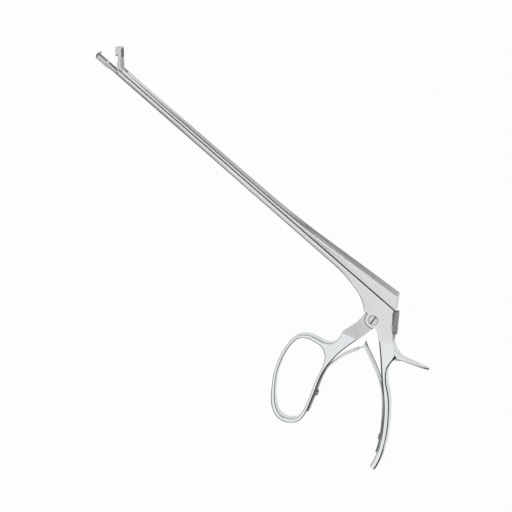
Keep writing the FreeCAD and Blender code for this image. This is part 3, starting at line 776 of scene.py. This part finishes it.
class GeometryTree:
    """A Geometry Nodes tree with named inputs."""

    def __init__(self, name: str) -> None:
        """Start a tree that outputs one geometry.

        Args:
            name: The tree's name.
        """
        self.tree = bpy.data.node_groups.new(name, "GeometryNodeTree")
        self.tree.interface.new_socket("Geometry", in_out="INPUT", socket_type="NodeSocketGeometry")
        self.tree.interface.new_socket("Geometry", in_out="OUTPUT", socket_type="NodeSocketGeometry")
        self.source = self.tree.nodes.new("NodeGroupInput")
        self.sink = self.tree.nodes.new("NodeGroupOutput")
        self.identifiers: dict[str, str] = {}

    def input(self, name: str, kind: str = "NodeSocketFloat") -> Any:
        """Add a named input.

        Args:
            name: The input's name.
            kind: Its socket type.

        Returns:
            The socket that carries its value inside the tree.
        """
        item = self.tree.interface.new_socket(name, in_out="INPUT", socket_type=kind)
        self.identifiers[name] = item.identifier
        return self.source.outputs[name]

    def add(self, kind: str, values: dict[str, Any]) -> Any:
        """Add a node and fill or link its inputs.

        Args:
            kind: The node's type.
            values: Values or sockets for its inputs, by name.

        Returns:
            Its first output.
        """
        node = self.tree.nodes.new(kind)
        for key, value in values.items():
            if isinstance(value, bpy.types.NodeSocket):
                self.tree.links.new(value, node.inputs[key])
            else:
                node.inputs[key].default_value = value
        return node.outputs[0]

    def close(self, geometry: Any, material: Any) -> None:
        """Realize the instances, set the material and end the tree.

        Args:
            geometry: The instances.
            material: The socket that carries the material.
        """
        real = self.add("GeometryNodeRealizeInstances", {"Geometry": geometry})
        painted = self.add("GeometryNodeSetMaterial", {"Geometry": real, "Material": material})
        self.tree.links.new(painted, self.sink.inputs[0])

    def make(self, name: str, points: Sequence[Vector], inputs: dict[str, Any]) -> bpy.types.Mesh:
        """Run the tree on a cloud of points.

        Args:
            name: The name of the mesh.
            points: Where its instances stand, in metres.
            inputs: Values for the named inputs.

        Returns:
            A plain mesh.
        """
        cloud = bpy.data.meshes.new(name)
        cloud.from_pydata([tuple(place) for place in points], [], [])
        holder = bpy.data.objects.new(name, cloud)
        bpy.context.scene.collection.objects.link(holder)
        modifier = holder.modifiers.new("tree", "NODES")
        modifier.node_group = self.tree
        for key, value in inputs.items():
            modifier[self.identifiers[key]] = value
        graph = bpy.context.evaluated_depsgraph_get()
        made = bpy.data.meshes.new_from_object(holder.evaluated_get(graph))
        bpy.data.objects.remove(holder)
        made.name = name
        return made


@dataclass
class CrossPins:
    """Round pins through the shaft, the guide keys and the slotted pivot screw."""

    sides: int = 48
    pin_edge: float = 0.08
    pin_crease_deg: float = 30.0
    screw_edge: float = 0.30
    keys: tuple[str, ...] = ("front_guide_key", "rear_guide_key")
    pins: dict[str, tuple[Body, Slot]] = field(default_factory=lambda: {
        "basket_pin": (Body.FRAME, Slot.DARK),
        "jaw_pivot_pin": (Body.FRAME, Slot.SCREW),
        "jaw_link_pin": (Body.SLIDE, Slot.SCREW)})

    def pin_tree(self) -> GeometryTree:
        """Make a tree that stands one round pin on each point.

        Returns:
            The tree, with inputs for the radius, the length and the finish.
        """
        tree = GeometryTree("round_pins")
        radius = tree.input("Radius")
        length = tree.input("Length")
        finish = tree.input("Finish", "NodeSocketMaterial")
        rod = tree.add(
            "GeometryNodeMeshCylinder", {"Vertices": self.sides, "Radius": radius, "Depth": length})
        stood = tree.add(
            "GeometryNodeInstanceOnPoints", {"Points": tree.source.outputs[0], "Instance": rod})
        tree.close(stood, finish)
        return tree

    def build(self, shop: Workshop) -> None:
        """Make the pins, and keep the keys' and the pivot screw's own shapes.

        Args:
            shop: The helpers that finish them.
        """
        tree = self.pin_tree()
        for node, (body, slot) in self.pins.items():
            low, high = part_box(node)
            mesh = tree.make(node + "_round", [(low + high) / 2], {
                "Radius": (high.x - low.x) / 2, "Length": high.z - low.z, "Finish": shop.paint(slot)})
            made = shop.object_from(node + "_round", mesh)
            soften(made, self.pin_edge, self.pin_crease_deg)
            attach(made, body.value)
            shop.dress(made, slot, [node])
        Milled("pivot_screw", Body.FRAME, Slot.SCREW, self.screw_edge, special=PIVOT).build(shop)
        for node in self.keys:
            Milled(node, Body.FRAME, Slot.SCREW, self.pin_edge).build(shop)


@dataclass(frozen=True)
class Card:
    """A dark board that stands upright round the part, in a direction turned about Z."""

    turn_deg: float
    height: float


@dataclass(frozen=True)
class Panel:
    """A soft square lamp."""

    name: str
    place: tuple[float, float, float]
    width: float
    watts: float


@dataclass
class Studio:
    """Plain floor, dark cards, soft light and the camera of the picture."""

    axis_deg: float = 40.95
    tilt_deg: float = 22.0
    pivot_height: float = 8.0
    centre_right: float = -70.26
    centre_up: float = 38.64
    picture_width: float = 307.2
    lens: float = 200.0
    sensor: float = 36.0
    nearest: float = 50.0
    farthest: float = 20000.0
    floor_half: float = 2500.0
    floor_white: float = 0.92
    floor_seen: float = 0.97
    floor_mirrored: float = 0.80
    room_strength: float = 0.55
    middle: tuple[float, float, float] = (-70.0, -20.0, 0.0)
    card_colour: tuple[float, float, float] = (0.02, 0.035, 0.04)
    card_distance: float = 620.0
    card_half: float = 341.0
    cards: tuple[Card, ...] = (
        Card(90.0, 900.0), Card(30.0, 700.0), Card(150.0, 460.0), Card(270.0, 700.0), Card(210.0, 300.0),
        Card(330.0, 760.0))
    panels: tuple[Panel, ...] = (
        Panel("key_panel", (-350.0, -500.0, 900.0), 600.0, 0.9),
        Panel("fill_panel", (400.0, 700.0, 600.0), 500.0, 0.35))

    def build(self) -> None:
        """Set up the whole studio."""
        self.camera()
        self.floor()
        self.dark_cards()
        self.world()
        for panel in self.panels:
            self.lamp(panel)
        bpy.context.scene.view_settings.view_transform = "Standard"

    def axes(self) -> tuple[Vector, Vector, Vector]:
        """Work out how the camera is turned.

        Returns:
            Its right, up and backward directions.
        """
        tilt, turn = math.radians(self.tilt_deg), math.radians(self.axis_deg)
        along = Vector((1.0, 0.0, 0.0))
        across = Vector((0.0, math.cos(tilt), -math.sin(tilt)))
        back = Vector((0.0, math.sin(tilt), math.cos(tilt)))
        right = along * math.cos(turn) + across * math.sin(turn)
        up = across * math.cos(turn) - along * math.sin(turn)
        return right, up, back

    def camera(self) -> None:
        """Place the camera so that the pivot falls where the picture has it."""
        right, up, back = self.axes()
        target = Vector((0.0, 0.0, self.pivot_height)) + right * self.centre_right + up * self.centre_up
        distance = self.picture_width * self.lens / self.sensor
        data = bpy.data.cameras.new("picture_camera")
        data.lens = self.lens
        data.sensor_width = self.sensor
        data.clip_start = self.nearest * MM
        data.clip_end = self.farthest * MM
        made = bpy.data.objects.new("picture_camera", data)
        bpy.context.scene.collection.objects.link(made)
        turn = Matrix((right, up, back)).transposed().to_4x4()
        made.matrix_world = Matrix.Translation((target + back * distance) * MM) @ turn
        bpy.context.scene.camera = made

    def board(
            self, name: str, corners: Sequence[Vector],
            material: bpy.types.Material) -> bpy.types.Object:
        """Add a flat board that belongs to the stage.

        Args:
            name: The board's name.
            corners: Its four corners, in metres.
            material: Its material.

        Returns:
            The new board.
        """
        mesh = bpy.data.meshes.new(name)
        mesh.from_pydata([corner[:] for corner in corners], [], [(0, 1, 2, 3)])
        mesh.materials.append(material)
        made = bpy.data.objects.new(name, mesh)
        bpy.context.scene.collection.objects.link(made)
        made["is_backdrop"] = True
        return made

    def floor(self) -> None:
        """Lay a white floor under the part that still takes its shadow."""
        low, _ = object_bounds()
        half = self.floor_half * MM
        ends = ((-half, -half), (half, -half), (half, half), (-half, half))
        corners = [Vector((x, y, low.z)) for x, y in ends]
        shader = Shader("pale_floor")
        white = (self.floor_white, self.floor_white, self.floor_white, FULL)
        matt = shader.add("ShaderNodeBsdfDiffuse", {}, {"Color": white})
        glow = shader.add("ShaderNodeEmission", {}, {"Color": WHITE, "Strength": FULL})
        share = shader.seen_or_mirrored(self.floor_seen, self.floor_mirrored)
        mixed = shader.add("ShaderNodeMixShader", {}, {0: share, 1: matt, 2: glow})
        self.board("floor", corners, shader.close(mixed))

    def dark_cards(self) -> None:
        """Stand dark boards out of sight, whose reflections draw the lines in polished steel."""
        shader = Shader("dark_card")
        matt = shader.add("ShaderNodeBsdfDiffuse", {}, {"Color": (*self.card_colour, FULL)})
        material = shader.close(matt)
        for number, card in enumerate(self.cards):
            turn = math.radians(card.turn_deg)
            away = Vector((math.cos(turn), math.sin(turn), 0.0))
            along = Vector((-away.y, away.x, 0.0)) * self.card_half
            foot = Vector(self.middle) + away * self.card_distance
            top = foot + Vector(UPWARD) * card.height
            corners = [foot - along, foot + along, top + along, top - along]
            made = self.board(f"dark_card_{number}", [corner * MM for corner in corners], material)
            made.visible_camera = False

    def world(self) -> None:
        """Light the scene evenly, with a white background in view and in reflections."""
        world = bpy.data.worlds.new("soft_room")
        world.use_nodes = True
        tree = ShaderTree(world.node_tree)
        room = tree.add("ShaderNodeBackground", {}, {"Color": WHITE, "Strength": self.room_strength})
        white = tree.add("ShaderNodeBackground", {}, {"Color": WHITE, "Strength": FULL})
        share = tree.seen_or_mirrored(FULL, FULL)
        mixed = tree.add("ShaderNodeMixShader", {}, {0: share, 1: room, 2: white})
        tree.end("ShaderNodeOutputWorld", mixed)
        bpy.context.scene.world = world

    def lamp(self, panel: Panel) -> None:
        """Hang one lamp that faces the middle of the part and isn't mirrored in it.

        Args:
            panel: The lamp's place, width and power.
        """
        data = bpy.data.lights.new(panel.name, "AREA")
        data.size = panel.width * MM
        data.energy = panel.watts
        made = bpy.data.objects.new(panel.name, data)
        bpy.context.scene.collection.objects.link(made)
        made.visible_glossy = False
        made.location = Vector(panel.place) * MM
        aim = Vector(self.middle) - Vector(panel.place)
        made.rotation_euler = aim.to_track_quat("-Z", "Y").to_euler()


def main() -> None:
    """Build every piece in order and set up the studio."""
    logging.basicConfig(level=logging.INFO, format="%(name)s %(message)s")
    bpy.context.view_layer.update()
    shop = Workshop()
    for assembly in (SatinBody(), SlideAndJaw(), Handles(), LeafSprings(), CrossPins()):
        LOG.info("building %s", type(assembly).__name__)
        assembly.build(shop)
    Studio().build()


if __name__ == "__main__":
    main()
